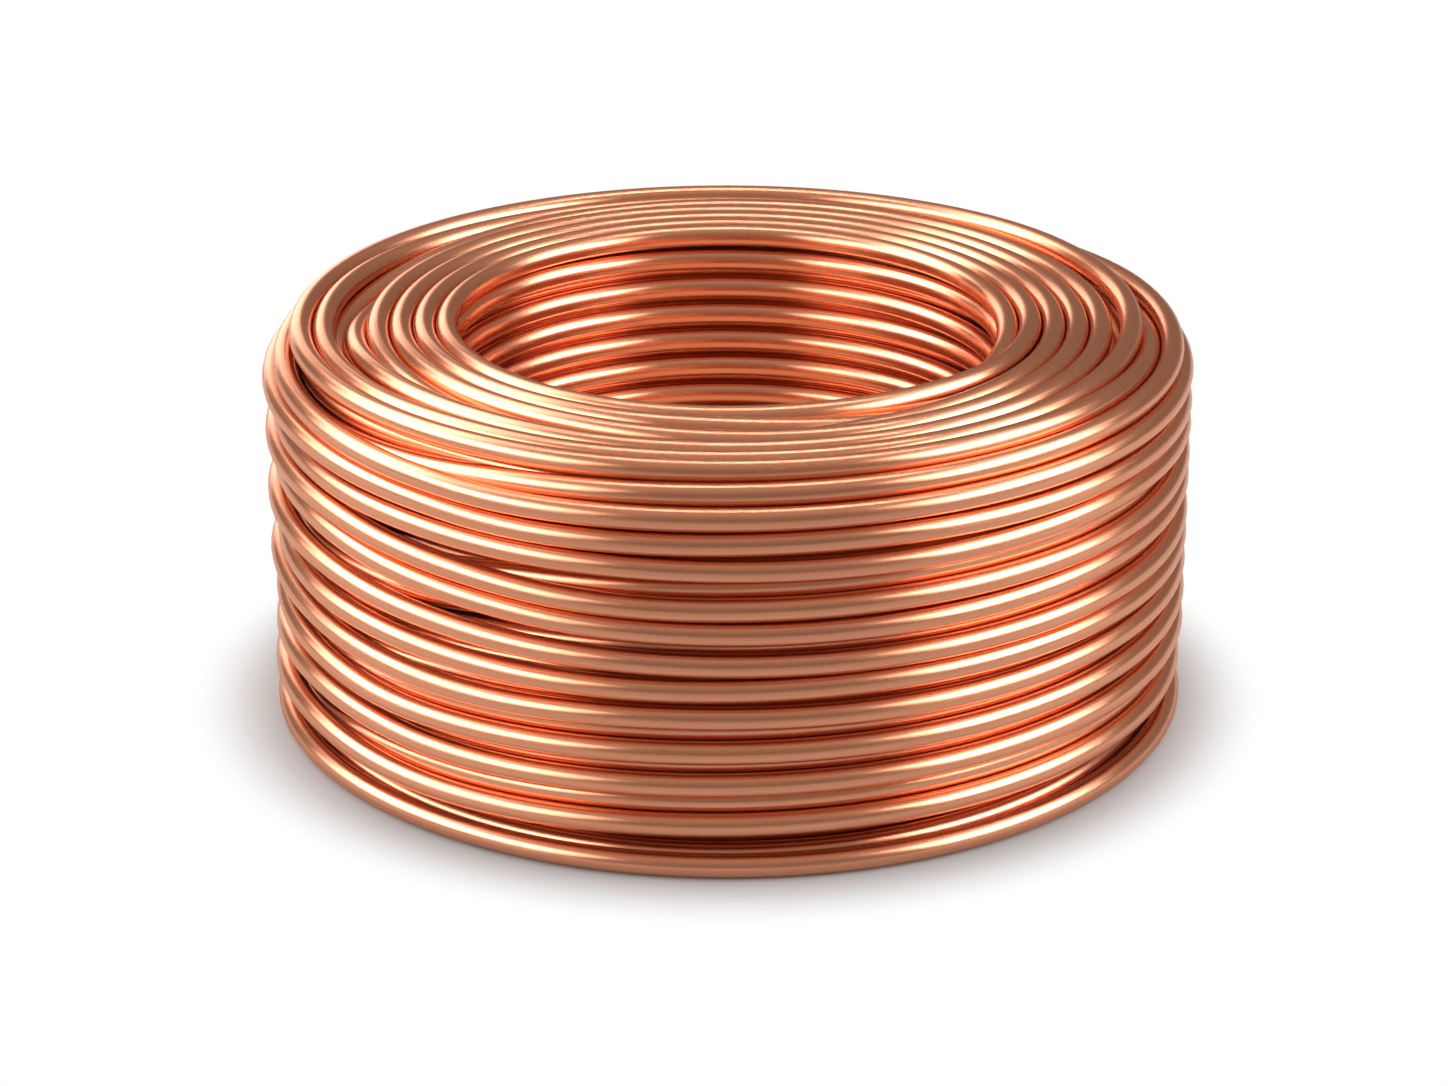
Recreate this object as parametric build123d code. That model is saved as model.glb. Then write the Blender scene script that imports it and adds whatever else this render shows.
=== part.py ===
from build123d import *

import math
import os
from collections import namedtuple

# A coil of bare copper wire rod, standing on its end with its bore upright.
# The coil is one length of round rod, wound in level layers about an open bore. Wound tight it is one body,
# so it is one solid turned about the coil's axis. Every turn that shows, on the outside, on the two ends and
# in the bore, is a ridge of an eight-sided bar at the rod's own size.
# Millimetres, +Z up the coil's axis, origin at the middle of the end that the coil stands on.

# Driving dimensions
ROD_DIAMETER = 8.0
BORE_RADIUS = 93.0
BORE_TURNS = 14
BORE_PITCH = 10.2
END_TURNS = 7
END_PITCH = 8.1

# The outermost turns lie beyond the last turn of each end, and their row stops short of the upper end.
RIM_GAP = 10.2
RIM_DROP = 12.5

# The outermost turns lie unevenly: the distances between them in proportion, from the lower end up.
WALL_GAPS = [16.0, 13.4, 11.2, 10.8, 10.5, 8.2, 12.0, 8.9, 11.7, 8.1, 9.3]

# One turn of the upper end, counted from the bore, has sunk between its neighbours.
SUNK_TURN = 5
SUNK_DEPTH = 3.0

# Turns that lie further apart than this show the turn behind them at the bottom of their groove.
OPEN_GAP = 1.0

# A ridge shows some of the sides of an eight-sided bar, with the rod's diameter across its flats:
# one side in a wall of turns, two where a wall meets the sloping shoulder, and three at a square corner.
SIDE_ANGLE = 360 / 8
WALL_SIDES = 1
SHOULDER_SIDES = 2
CORNER_SIDES = 3
CORNER_RADIUS = ROD_DIAMETER / 2 / math.cos(math.radians(SIDE_ANGLE / 2))
SIDE_LENGTH = ROD_DIAMETER * math.tan(math.radians(SIDE_ANGLE / 2))

# The middles of the turns, from the bore outwards and from the lower end upwards
END_RADII = [BORE_RADIUS + ROD_DIAMETER / 2 + turn * END_PITCH for turn in range(END_TURNS)]
BORE_HEIGHTS = [ROD_DIAMETER / 2 + turn * BORE_PITCH for turn in range(BORE_TURNS)]
UPPER_HEIGHTS = [BORE_HEIGHTS[-1] - (SUNK_DEPTH if turn == SUNK_TURN else 0.0) for turn in range(END_TURNS)]
WALL_RADIUS = END_RADII[-1] + RIM_GAP
WALL_REACH = BORE_HEIGHTS[-1] - RIM_DROP - BORE_HEIGHTS[0]
WALL_SHARES = [sum(WALL_GAPS[:turn]) / sum(WALL_GAPS) for turn in range(len(WALL_GAPS) + 1)]
WALL_HEIGHTS = [BORE_HEIGHTS[0] + share * WALL_REACH for share in WALL_SHARES]

# The ways that a side can face, in degrees round the rod from straight out of the coil
OUTWARDS = 0
UP_AND_OUT = 45
UPWARDS = 90
INWARDS = 180
DOWNWARDS = 270

# A turn that shows: where its middle is, the way its first showing side faces, and how many sides show
Turn = namedtuple("Turn", "radius height first_side side_count")


def direction(angle):
    """One millimetre at an angle in the plane of the section, as radius and height."""
    return Vector(math.cos(math.radians(angle)), math.sin(math.radians(angle)))


def ridge(turn):
    """The corners of a turn's ridge, from the first of its sides that shows round to the last."""
    first_corner = turn.first_side - SIDE_ANGLE / 2
    angles = [first_corner + corner * SIDE_ANGLE for corner in range(turn.side_count + 1)]
    return [Vector(turn.radius, turn.height) + direction(angle) * CORNER_RADIUS for angle in angles]


def groove(turn, next_turn):
    """The groove between two turns: closed where their flanks meet, or open down to the turn behind."""
    last_side = turn.first_side + (turn.side_count - 1) * SIDE_ANGLE
    flank_down = direction(last_side + SIDE_ANGLE + 90)
    flank_up = direction(next_turn.first_side - SIDE_ANGLE + 90)
    start = ridge(turn)[-1]
    end = ridge(next_turn)[0]
    middle = Vector(turn.radius, turn.height)
    next_middle = Vector(next_turn.radius, next_turn.height)
    spacing = (next_middle - middle).length
    if spacing < ROD_DIAMETER + OPEN_GAP:
        length = (end - start).cross(flank_up).Z / flank_down.cross(flank_up).Z
        return [start + flank_down * length]
    depth = math.sqrt(max(ROD_DIAMETER**2 - (spacing / 2) ** 2, (ROD_DIAMETER / 2) ** 2))
    floor = direction(last_side) * (ROD_DIAMETER / 2 - depth)
    beside = (next_middle - middle) * (ROD_DIAMETER / 2 / spacing)
    near_side = [start + flank_down * SIDE_LENGTH, middle + beside + floor]
    far_side = [next_middle - beside + floor, end - flank_up * SIDE_LENGTH]
    return near_side + far_side


def lower_end():
    """The turns that the coil stands on, from the bore outwards."""
    innermost, *radii = END_RADII
    lowest = BORE_HEIGHTS[0]
    turns = [Turn(innermost, lowest, INWARDS, CORNER_SIDES)]
    turns += [Turn(radius, lowest, DOWNWARDS, WALL_SIDES) for radius in radii]
    turns += [Turn(WALL_RADIUS, lowest, DOWNWARDS, CORNER_SIDES)]
    return turns


def outer_wall():
    """The turns of the outside above the lowest, up to the rim and the turn that lies on its shoulder."""
    rim = WALL_HEIGHTS[-1]
    shoulder_radius = (WALL_RADIUS + END_RADII[-1]) / 2
    shoulder_height = (rim + UPPER_HEIGHTS[-1]) / 2
    turns = [Turn(WALL_RADIUS, height, OUTWARDS, WALL_SIDES) for height in WALL_HEIGHTS[1:-1]]
    turns += [Turn(WALL_RADIUS, rim, OUTWARDS, SHOULDER_SIDES)]
    turns += [Turn(shoulder_radius, shoulder_height, UP_AND_OUT, WALL_SIDES)]
    return turns


def upper_end():
    """The turns of the upper end, from the shoulder inwards to the bore."""
    innermost, *middle, outermost = zip(END_RADII, UPPER_HEIGHTS)
    turns = [Turn(*outermost, UP_AND_OUT, SHOULDER_SIDES)]
    turns += [Turn(radius, height, UPWARDS, WALL_SIDES) for radius, height in reversed(middle)]
    turns += [Turn(*innermost, UPWARDS, CORNER_SIDES)]
    return turns


def bore_wall():
    """The turns of the bore between the two ends, from the upper end down."""
    return [Turn(END_RADII[0], height, INWARDS, WALL_SIDES) for height in reversed(BORE_HEIGHTS[1:-1])]


def coil_section(turns):
    """Half of the coil's section: a ridge for each turn that shows, with a groove before the next."""
    outline = []
    for turn, next_turn in zip(turns, turns[1:] + turns[:1]):
        outline += ridge(turn)
        outline += groove(turn, next_turn)
    return Plane.XZ * make_face(Polyline(*outline, close=True))


showing_turns = lower_end() + outer_wall() + upper_end() + bore_wall()
wire_coil = revolve(coil_section(showing_turns), Axis.Z)

os.makedirs("parts", exist_ok=True)
export_step(wire_coil, "parts/wire_coil.step")
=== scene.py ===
import math

import bpy
import numpy as np
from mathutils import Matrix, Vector


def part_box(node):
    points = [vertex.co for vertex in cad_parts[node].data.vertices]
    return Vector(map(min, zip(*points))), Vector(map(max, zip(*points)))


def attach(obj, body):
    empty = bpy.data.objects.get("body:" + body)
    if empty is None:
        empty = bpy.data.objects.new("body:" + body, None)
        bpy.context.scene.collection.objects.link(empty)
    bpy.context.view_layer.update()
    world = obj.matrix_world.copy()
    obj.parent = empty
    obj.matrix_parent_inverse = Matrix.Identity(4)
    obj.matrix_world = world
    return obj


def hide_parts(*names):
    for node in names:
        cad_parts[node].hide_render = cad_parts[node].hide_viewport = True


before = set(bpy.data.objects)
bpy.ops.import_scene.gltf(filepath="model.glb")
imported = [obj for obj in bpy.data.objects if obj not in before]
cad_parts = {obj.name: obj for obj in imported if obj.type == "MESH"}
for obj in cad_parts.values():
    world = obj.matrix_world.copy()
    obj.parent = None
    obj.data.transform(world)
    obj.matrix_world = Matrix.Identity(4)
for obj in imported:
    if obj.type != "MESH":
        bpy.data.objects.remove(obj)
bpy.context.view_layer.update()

# The wire rod: one length of bright drawn copper, wound tight in level layers, up one layer and down the
# next. The mandrel it was wound on and its two flanges shaped the bore and the ends; nothing ties the coil.
rod_diameter = 0.008
rod_radius = rod_diameter / 2
bore_radius = 0.093
coil_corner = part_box("wire_coil")[1]
coil_radius = coil_corner.x
coil_height = coil_corner.z

# Places round the coil are counted in turns: 0 is its right, 0.25 its back, 0.5 its left and 0.75 its front.
# The rod starts at the back, and its path has this many stations in each turn.
rod_start = 0.25
stations = 120
winding_seed = 7

# Each layer from the bore out: its turns, where round the coil they step to the next level and how far that
# place drifts, the gaps that it leaves at the lower and the upper flange, and how far its ends spread out.
layers = (
    (14, 0.97, 0.0, 0.0, 0.0, 0.0),
    (13, 0.93, 0.0, 0.0, 0.0, 0.0016),
    (14, 0.74, 0.0, 0.0, 0.0, 0.0032),
    (13, 0.7, 0.0, 0.004, 0.0, 0.0048),
    (14, 0.46, 0.0, 0.0, 0.0, 0.0063),
    (13, 0.42, 0.0, 0.0, 0.008, 0.004),
    (13, 0.08, 0.0, 0.0054, 0.003, 0.0015),
    (13, 0.02, 0.0, 0.0, 0.0, 0.0029),
    (12, 0.6, 0.0, 0.008, 0.0062, 0.0015),
    (12, 0.64, 0.36, 0.0, 0.0125, 0.0),
)

# The distances between the turns that show on the outside, from the lower end up. The turns of the layer
# beneath lie in the gaps between them, as the second layer lies in the gaps of the first.
wall_gaps = np.array((0.016, 0.0134, 0.0112, 0.0108, 0.0105, 0.0082, 0.012, 0.0089, 0.0117, 0.0081, 0.0093))
wall_levels = rod_radius + np.append(0.0, np.cumsum(wall_gaps))

# On the left some of them have sunk between their neighbours by this much, and others, below zero, stand
# out. On the right they all stand out a little. The two outermost layers sag on the left.
wall_sinks = np.array((0.0, -0.4, 0.4, 0.4, 2.4, -0.8, 2.4, -0.8, 2.4, -0.8, 2.4, -1.2)) / 1000
right_bulge = 0.0012
left_sag = 0.005
left_place = 0.48
right_place = 0.0
side_reach = 0.2


def ease(share):
    """A smooth step from 0 to 1, flat at both ends."""
    share = np.clip(share, 0.0, 1.0)
    return share * share * (3.0 - 2.0 * share)


def nearness(along, place):
    """1 at a place round the coil, falling to 0 at the reach of that side."""
    away = np.abs((along - place + 0.5) % 1.0 - 0.5)
    return ease(1.0 - away / side_reach)


def lay_rod(random):
    """Where the rod is laid at each station: its radius, its height and how far out it may go."""
    outermost = len(layers) - 1
    layer_rise = (coil_radius - bore_radius - rod_diameter) / outermost
    flange_reach = 0.02
    step_wander = 0.012
    seats = []
    steps = []
    for layer, (turns, step_place, drift, low_gap, high_gap, spread) in enumerate(layers):
        level_wander = 0.0007 if layer else 0.0003
        levels = np.linspace(rod_radius + low_gap, coil_height - rod_radius - high_gap, turns)
        levels[1:-1] += random.normal(0.0, level_wander, turns - 2)
        from_flange = np.minimum(levels, coil_height - levels) - rod_radius
        spreads = spread * ease(1.0 - from_flange / flange_reach)
        radii = bore_radius + rod_radius + layer * layer_rise + spreads
        if layer == 1:
            between = (np.arange(1, turns - 1) + 0.5) / turns
            levels[1:-1] = seats[0][1] + between * (seats[-1][1] - seats[0][1])
        sinks = np.zeros(turns)
        sags = np.full(turns, left_sag if layer >= outermost - 1 else 0.0)
        if layer == outermost:
            levels = wall_levels
            sinks = wall_sinks
        if layer == outermost - 1:
            levels[:-1] = (wall_levels[:-1] + wall_levels[1:]) / 2
            sunk = np.sqrt(np.maximum(rod_diameter ** 2 - (wall_gaps / 2) ** 2, rod_radius ** 2))
            radii[:-1] = coil_radius - rod_radius - sunk
        winds_down = layer % 2
        seats += list(zip(radii, levels, sinks, sags))[::-1 if winds_down else 1]
        last_step = steps[-1] if steps else rod_start
        ahead = (last_step - step_place + 0.5) % 1.0 - 0.5
        steps.append(last_step + 1.0 - ahead)
        drifted = drift * np.linspace(0.0, 1.0, turns) ** 3
        for drift_on in np.diff(drifted):
            steps.append(steps[-1] + 1.0 - drift_on + random.normal(0.0, step_wander))
    steps = np.array(steps[:-1])
    shortest_step, longest_step = 0.08, 0.15
    step_lengths = random.uniform(shortest_step, longest_step, len(steps))
    last_stretch = 0.98
    turn_count = round(steps[-1] + last_stretch - rod_start)
    along = rod_start + np.arange(turn_count * stations) / stations
    stepped = ease((along[:, None] - steps) / step_lengths + 0.5)
    path = seats[0] + stepped @ np.diff(seats, axis=0)
    radii, heights, sinks, sags = path.T.reshape(4, turn_count, stations).copy()
    on_left = nearness(along, left_place).reshape(turn_count, stations)
    on_right = nearness(along, right_place).reshape(turn_count, stations)
    reach = coil_radius - rod_radius - sinks * on_left + right_bulge * on_right
    return radii, heights - sags * on_left, reach


def settle_rod(radii, heights, reach):
    """Let the turns push each other apart until they rest side by side, and ease the rod's bends."""
    laid_radii = radii.copy()
    laid_heights = heights.copy()
    rounds = 500
    rounds_between_looks = 20
    last_rounds_uneased = 4
    sparse = slice(None, None, 4)
    neighbour_distance = 1.5 * rod_diameter
    resting_distance = 1.005 * rod_diameter
    hold = 0.02
    hold_fades = 1.3
    give = 0.3
    easing = 0.25
    for settling in range(rounds):
        if settling % rounds_between_looks == 0:
            apart = np.hypot(
                radii[:, None, sparse] - radii[None, :, sparse],
                heights[:, None, sparse] - heights[None, :, sparse],
            )
            one, two = np.nonzero(np.triu((apart < neighbour_distance).any(axis=2), 1))
            pushed = np.zeros((len(radii), len(one)))
            pushed[one, np.arange(len(one))] = 1.0
            pushed[two, np.arange(len(two))] = -1.0
        pull = hold * max(0.0, 1.0 - hold_fades * settling / rounds)
        radii += pull * (laid_radii - radii)
        heights += pull * (laid_heights - heights)
        outward = radii[one] - radii[two]
        upward = heights[one] - heights[two]
        apart = np.hypot(outward, upward) + 1e-9
        push = give * np.maximum(resting_distance - apart, 0.0) / apart
        radii += pushed @ (push * outward)
        heights += pushed @ (push * upward)
        np.clip(radii, bore_radius + rod_radius, reach, out=radii)
        np.clip(heights, rod_radius, coil_height - rod_radius, out=heights)
        if settling < rounds - last_rounds_uneased:
            for bends in (radii.reshape(-1), heights.reshape(-1)):
                bends[1:-1] += easing * (bends[:-2] - 2.0 * bends[1:-1] + bends[2:])
    return radii, heights


turn_radii, turn_heights = settle_rod(*lay_rod(np.random.default_rng(winding_seed)))


class Wired:
    """A socket of a node tree. Arithmetic on it adds Math nodes, and node() adds a node of any other type."""

    def __init__(self, tree, socket=None):
        self.tree = tree
        self.socket = socket

    def node(self, kind, settings, sockets, output=0):
        made = self.tree.nodes.new(kind)
        for name, value in settings.items():
            if name == "captures":
                made.capture_items.new(*value)
            else:
                setattr(made, name, value)
        for name, value in sockets.items():
            if isinstance(value, Wired):
                self.tree.links.new(value.socket, made.inputs[name])
            else:
                made.inputs[name].default_value = value
        return Wired(self.tree, made.outputs[output]) if len(made.outputs) else made

    def beside(self, output):
        """Another output of the same node."""
        return Wired(self.tree, self.socket.node.outputs[output])

    def maths(self, operation, first, second):
        return self.node("ShaderNodeMath", {"operation": operation}, {0: first, 1: second})

    def __add__(self, other):
        return self.maths("ADD", self, other)

    def __radd__(self, other):
        return self.maths("ADD", other, self)

    def __mul__(self, other):
        return self.maths("MULTIPLY", self, other)

    def __rmul__(self, other):
        return self.maths("MULTIPLY", other, self)


def drawn_copper():
    """Bright copper, with the fine lengthwise lines of the drawing die and a faint uneven tarnish."""
    material = bpy.data.materials.new("drawn_copper")
    material.use_nodes = True
    material.node_tree.nodes.clear()
    copper = Wired(material.node_tree)
    rod_place = copper.node("ShaderNodeAttribute", {"attribute_name": "rod_place"}, {}, "Vector")
    drawn_out = copper.node("ShaderNodeVectorMath", {"operation": "MULTIPLY"}, {
        0: rod_place,
        1: (1.0, 1.0, 0.012),
    })
    lines = copper.node("ShaderNodeTexNoise", {}, {"Vector": drawn_out, "Scale": 1100.0, "Detail": 3.0})
    lines = copper.node("ShaderNodeMapRange", {}, {"Value": lines, "From Min": 0.3, "From Max": 0.7})
    place = copper.node("ShaderNodeTexCoord", {}, {}, "Object")
    tarnish = copper.node("ShaderNodeTexNoise", {}, {"Vector": place, "Scale": 28.0, "Detail": 4.0})
    tint = copper.node("ShaderNodeMix", {"data_type": "RGBA"}, {
        "Factor": 0.45 * lines + 0.4 * tarnish,
        6: (0.885, 0.415, 0.246, 1.0),
        7: (0.785, 0.335, 0.184, 1.0),
    }, 2)
    relief = copper.node("ShaderNodeBump", {}, {"Height": lines, "Strength": 0.06, "Distance": 0.0002})
    surface = copper.node("ShaderNodeBsdfPrincipled", {}, {
        "Base Color": tint,
        "Metallic": 1.0,
        "Roughness": 0.17 + 0.08 * lines + 0.06 * tarnish,
        "Specular Tint": (1.0, 0.8, 0.7, 1.0),
        "Anisotropic": 0.7,
        "Anisotropic Rotation": 0.25,
        "Coat Weight": 0.25,
        "Coat Roughness": 0.12,
        "Normal": relief,
    })
    copper.node("ShaderNodeOutputMaterial", {}, {"Surface": surface})
    return material


def rod_sweep():
    """Geometry Nodes that sweep the rod's section along a path and keep each point's place on the rod."""
    tree = bpy.data.node_groups.new("rod_sweep", "GeometryNodeTree")
    tree.interface.new_socket("Geometry", in_out="INPUT", socket_type="NodeSocketGeometry")
    tree.interface.new_socket("Rod Radius", in_out="INPUT", socket_type="NodeSocketFloat")
    tree.interface.new_socket("Rod Sides", in_out="INPUT", socket_type="NodeSocketInt")
    tree.interface.new_socket("Finish", in_out="INPUT", socket_type="NodeSocketMaterial")
    tree.interface.new_socket("Geometry", in_out="OUTPUT", socket_type="NodeSocketGeometry")
    sweep = Wired(tree)
    path = sweep.node("NodeGroupInput", {}, {}, "Geometry")
    curve = sweep.node("GeometryNodeMeshToCurve", {}, {"Mesh": path})
    length = sweep.node("GeometryNodeSplineParameter", {}, {}, "Length")
    measured = sweep.node("GeometryNodeCaptureAttribute", {"captures": ("FLOAT", "Along")}, {
        "Geometry": curve,
        "Along": length,
    })
    circle = sweep.node("GeometryNodeCurvePrimitiveCircle", {}, {
        "Resolution": path.beside("Rod Sides"),
        "Radius": path.beside("Rod Radius"),
    })
    position = sweep.node("GeometryNodeInputPosition", {}, {})
    section = sweep.node("GeometryNodeCaptureAttribute", {"captures": ("VECTOR", "Around")}, {
        "Geometry": circle,
        "Around": position,
    })
    tube = sweep.node("GeometryNodeCurveToMesh", {}, {
        "Curve": measured,
        "Profile Curve": section,
        "Fill Caps": True,
    })
    around = sweep.node("ShaderNodeSeparateXYZ", {}, {"Vector": section.beside("Around")}, "X")
    rod_place = sweep.node("ShaderNodeCombineXYZ", {}, {
        "X": around,
        "Y": around.beside("Y"),
        "Z": measured.beside("Along"),
    })
    placed = sweep.node("GeometryNodeStoreNamedAttribute", {"data_type": "FLOAT_VECTOR"}, {
        "Geometry": tube,
        "Name": "rod_place",
        "Value": rod_place,
    })
    corners = sweep.node("GeometryNodeInputMeshFaceNeighbors", {}, {}, "Vertex Count")
    smooth = sweep.node("GeometryNodeSetShadeSmooth", {}, {
        "Geometry": placed,
        "Shade Smooth": sweep.maths("LESS_THAN", corners, 5.0),
    })
    real = sweep.node("GeometryNodeRealizeInstances", {}, {"Geometry": smooth})
    finished = sweep.node("GeometryNodeSetMaterial", {}, {
        "Geometry": real,
        "Material": path.beside("Finish"),
    })
    sweep.node("NodeGroupOutput", {}, {"Geometry": finished})
    return tree


rod_sides = 14
copper_finish = drawn_copper()
sweep_tree = rod_sweep()
sweep_inputs = {
    item.name: item.identifier
    for item in sweep_tree.interface.items_tree
    if item.in_out == "INPUT"
}
station_angles = 2.0 * math.pi * (rod_start + np.arange(turn_radii.size) / stations)
rod_path = np.column_stack((
    turn_radii.reshape(-1) * np.cos(station_angles),
    turn_radii.reshape(-1) * np.sin(station_angles),
    turn_heights.reshape(-1),
))


def wind_piece(name, first_turn, last_turn):
    """A mesh of the rod from one turn to another."""
    stretch = rod_path[first_turn * stations:last_turn * stations + 1]
    steps = [(point, point + 1) for point in range(len(stretch) - 1)]
    path_mesh = bpy.data.meshes.new(name + "_path")
    path_mesh.from_pydata(stretch.tolist(), steps, [])
    path = bpy.data.objects.new(name + "_path", path_mesh)
    bpy.context.scene.collection.objects.link(path)
    modifier = path.modifiers.new("rod_sweep", "NODES")
    modifier.node_group = sweep_tree
    modifier[sweep_inputs["Rod Radius"]] = rod_radius
    modifier[sweep_inputs["Rod Sides"]] = rod_sides
    modifier[sweep_inputs["Finish"]] = copper_finish
    bpy.context.view_layer.update()
    swept = path.evaluated_get(bpy.context.evaluated_depsgraph_get())
    wound = bpy.data.meshes.new_from_object(swept)
    wound.name = name
    bpy.data.objects.remove(path)
    piece = bpy.data.objects.new(name, wound)
    bpy.context.scene.collection.objects.link(piece)
    return piece


def unroll(piece):
    """Lay the rod's surface out flat: a strip for each turn, and the two cut ends beside the strips."""
    mesh = piece.data
    corner_points = np.empty(len(mesh.loops), dtype=int)
    mesh.loops.foreach_get("vertex_index", corner_points)
    rings, sides = np.divmod(corner_points, rod_sides)
    wall_corners = 4 * (len(mesh.polygons) - 2)
    first_rings = np.repeat(rings[:wall_corners].reshape(-1, 4).min(axis=1), 4)
    wall_sides = sides[:wall_corners].reshape(-1, 4)
    closing = (wall_sides.max(axis=1) == rod_sides - 1) & (wall_sides.min(axis=1) == 0)
    wall_sides[closing[:, None] & (wall_sides == 0)] = rod_sides
    turns, turned = np.divmod(first_rings, stations)
    strip_length, strip_width, strip_margin = 0.96, 0.84, 0.08
    across = strip_margin + strip_width * wall_sides.reshape(-1) / rod_sides
    flat = np.empty((len(corner_points), 2))
    flat[:wall_corners, 0] = strip_length * (turned + rings[:wall_corners] - first_rings) / stations
    flat[:wall_corners, 1] = (turns + across) / (turns.max() + 1)
    end_angles = 2.0 * math.pi * sides[wall_corners:] / rod_sides
    first_end, last_end = 0.25, 0.75
    end_middles = np.where(rings[wall_corners:] == 0, first_end, last_end)
    end_column, end_size = 0.98, 0.01
    flat[wall_corners:, 0] = end_column + end_size * np.cos(end_angles)
    flat[wall_corners:, 1] = end_middles + end_size * np.sin(end_angles)
    mesh.uv_layers.new(name="OFBake").uv.foreach_set("vector", flat.reshape(-1))


# The rod is too long for one mesh, so it is wound in three pieces that follow on from each other.
rod_pieces = ("rod_inner_turns", "rod_middle_turns", "rod_outer_turns")
split_shares = (0.0, 0.35, 0.65, 1.0)
rod_splits = [round(len(turn_radii) * share) for share in split_shares]
for name, first_turn, last_turn in zip(rod_pieces, rod_splits, rod_splits[1:]):
    rod_piece = wind_piece(name, first_turn, last_turn)
    unroll(rod_piece)
    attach(rod_piece, "root")
    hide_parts("wire_coil")

# The studio: a grey floor near the coil, a painted shadow ring, that turns white away from the coil, two soft
# lights on each side, a strip above and a pale panel behind on the left.
floor_reach = 20.0
floor_mesh = bpy.data.meshes.new("floor")
floor_mesh.from_pydata(
    [(floor_reach * x, floor_reach * y, 0.0) for x, y in ((-1, -1), (1, -1), (1, 1), (-1, 1))],
    [],
    [(0, 1, 2, 3)],
)
floor = bpy.data.objects.new("floor", floor_mesh)
bpy.context.scene.collection.objects.link(floor)


def floor_with_painted_light():
    """Grey matt near the coil: a painted shadow ring over its real shadow. White further off, mirrored grey
    in front as a painted darker reflection, and a painted orange glow in the bore.
    """
    material = bpy.data.materials.new("floor_with_painted_light")
    material.use_nodes = True
    material.node_tree.nodes.clear()
    paint = Wired(material.node_tree)
    place = paint.node("ShaderNodeTexCoord", {}, {}, "Object")
    from_axis = paint.node("ShaderNodeVectorMath", {"operation": "LENGTH"}, {0: place}, "Value")
    # Near the coil the camera sees the grey matt floor: a painted shadow ring, with the coil's real shadow on
    # it.
    clear_of_coil = paint.node("ShaderNodeMapRange", {"interpolation_type": "SMOOTHSTEP"}, {
        "Value": from_axis,
        "From Min": 0.15,
        "From Max": 0.192,
    })
    inwards = paint.node("ShaderNodeSeparateXYZ", {}, {"Vector": place}, "Y")
    beside_coil = paint.node("ShaderNodeMapRange", {"interpolation_type": "SMOOTHSTEP"}, {
        "Value": inwards,
        "From Min": -0.3,
        "From Max": -0.1,
    })
    # Inside the bore the floor is painted paler and glows orange in mirrored rays: painted light that stands
    # in for light bounced round the copper.
    bore_painted_light_mask = paint.node("ShaderNodeMapRange", {"interpolation_type": "SMOOTHSTEP"}, {
        "Value": from_axis,
        "From Min": 0.095,
        "From Max": 0.08,
    })
    rays = paint.node("ShaderNodeLightPath", {}, {}, "Is Camera Ray")
    mirrored = rays.beside("Is Glossy Ray") + rays.beside("Is Transmission Ray")
    # Mirrored rays see white beside and behind the coil but the grey matt in front: a painted reflection,
    # darker on the copper's lower sides.
    painted_reflection_beside = 0.45 * mirrored * beside_coil
    painted_bore_glow = 0.6 * mirrored * bore_painted_light_mask
    white_and_painted_glow_share = clear_of_coil * (rays + painted_reflection_beside) + painted_bore_glow
    # The matt floor is mid-grey for the painted shadow ring and the painted darker reflection, and paler in
    # the bore as painted light.
    matt_with_painted_shade_and_light = paint.node("ShaderNodeBsdfDiffuse", {}, {"Color": 0.33 + 0.5 * bore_painted_light_mask})
    # White away from the coil, orange in the bore: a painted glow, no lamp.
    glow = paint.node("ShaderNodeMix", {"data_type": "RGBA"}, {
        "Factor": bore_painted_light_mask,
        6: (1.0, 1.0, 1.0, 1.0),
        7: (1.0, 0.55, 0.35, 1.0),
    }, 2)
    white_or_painted_bore_glow = paint.node("ShaderNodeEmission", {}, {"Color": glow, "Strength": 1.0})
    surface = paint.node("ShaderNodeMixShader", {}, {0: white_and_painted_glow_share, 1: matt_with_painted_shade_and_light, 2: white_or_painted_bore_glow})
    paint.node("ShaderNodeOutputMaterial", {}, {"Surface": surface})
    return material


floor_mesh.materials.append(floor_with_painted_light())


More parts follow.
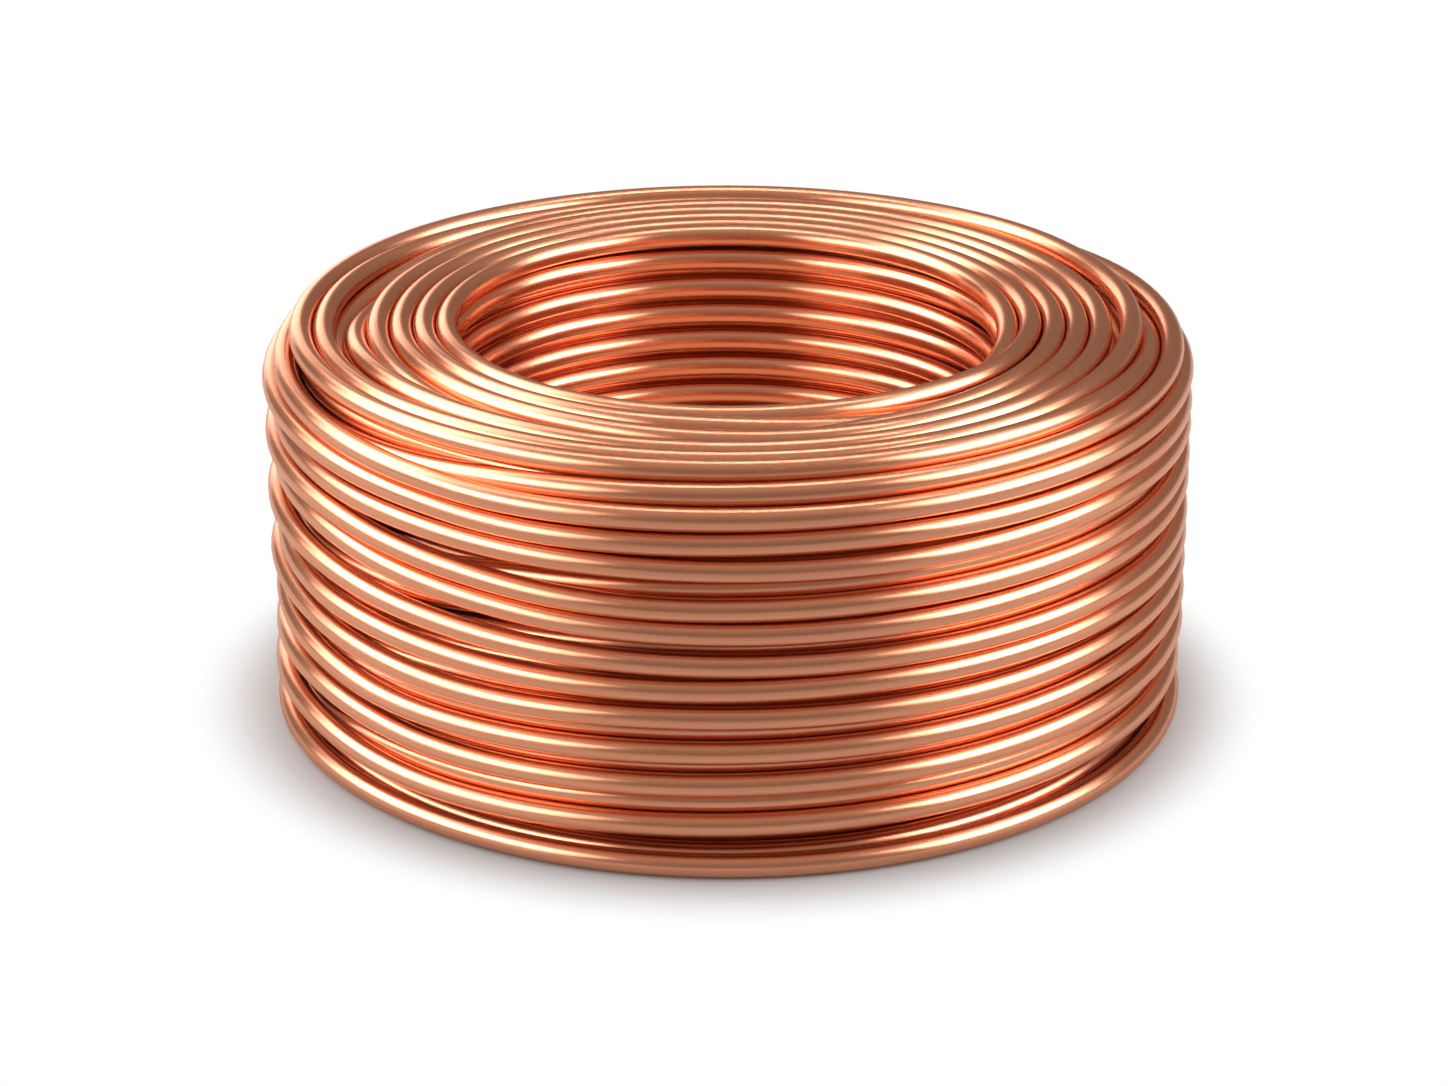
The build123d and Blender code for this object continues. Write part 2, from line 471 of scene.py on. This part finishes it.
def soft_light(name, turn, rise, distance, width, height, radiance):
    """A soft light that faces the coil, so far round from the camera. Four sheets soften its edges."""
    turn = math.radians(turn)
    rise = math.radians(rise)
    away = Vector((math.sin(turn) * math.cos(rise), -math.cos(turn) * math.cos(rise), math.sin(rise)))
    for sheet, share in enumerate((0.7, 0.9, 1.1, 1.3)):
        lamp = bpy.data.lights.new(name, "AREA")
        lamp.shape = "RECTANGLE"
        lamp.color = (1.0, 0.93, 0.92)
        lamp.size = share * width
        lamp.size_y = share * height
        lamp.energy = math.pi * lamp.size * lamp.size_y * radiance / 4
        light = bpy.data.objects.new(name, lamp)
        light.location = Vector((0.0, 0.0, coil_height / 2)) + (distance + 0.02 * sheet) * away
        light.rotation_euler = (-away).to_track_quat("-Z", "Y").to_euler()
        bpy.context.scene.collection.objects.link(light)


# Each light: degrees round from the camera, degrees up, metres away, its width and height, and its radiance.
soft_light("left_light", -77.0, 28.0, 1.5, 2.1, 0.8, 5.1)
soft_light("left_light_behind", -122.0, 46.0, 1.5, 1.0, 0.7, 3.5)
soft_light("right_light", 74.0, 30.0, 1.5, 1.2, 0.8, 7.1)
soft_light("right_light_behind", 100.0, 43.0, 1.5, 0.7, 0.7, 1.5)
soft_light("strip_above", 180.0, 78.0, 1.7, 1.3, 0.13, 11.0)
soft_light("panel_behind", -157.0, 9.0, 1.85, 0.75, 1.0, 2.0)

world = bpy.data.worlds.new("studio")
bpy.context.scene.world = world
world.use_nodes = True
world.node_tree.nodes.clear()
air = Wired(world.node_tree)
outwards = air.node("ShaderNodeTexCoord", {}, {}, "Generated")
upwards = air.node("ShaderNodeSeparateXYZ", {}, {"Vector": outwards}, "Z")
overhead = air.node("ShaderNodeMapRange", {"interpolation_type": "SMOOTHSTEP"}, {
    "Value": upwards,
    "From Min": 0.3,
    "From Max": 0.95,
    "To Min": 0.275,
    "To Max": 0.485,
})
glow = air.node("ShaderNodeBackground", {}, {"Color": (1.0, 0.84, 0.75, 1.0), "Strength": overhead})
air.node("ShaderNodeOutputWorld", {}, {"Surface": glow})

# The camera stands a little above the coil, at the height and distance of the picture.
camera_distance = 1.456
camera_rise = math.radians(22.0)
look_at = Vector((-0.0012, 0.0, 0.0536))
lens = bpy.data.cameras.new("camera")
lens.lens = 102.36
lens.sensor_width = 36.0
camera = bpy.data.objects.new("camera", lens)
camera.location = look_at + camera_distance * Vector((0.0, -math.cos(camera_rise), math.sin(camera_rise)))
camera.rotation_euler = (look_at - camera.location).to_track_quat("-Z", "Y").to_euler()
bpy.context.scene.collection.objects.link(camera)
bpy.context.scene.camera = camera

bpy.context.scene.view_settings.view_transform = "Standard"
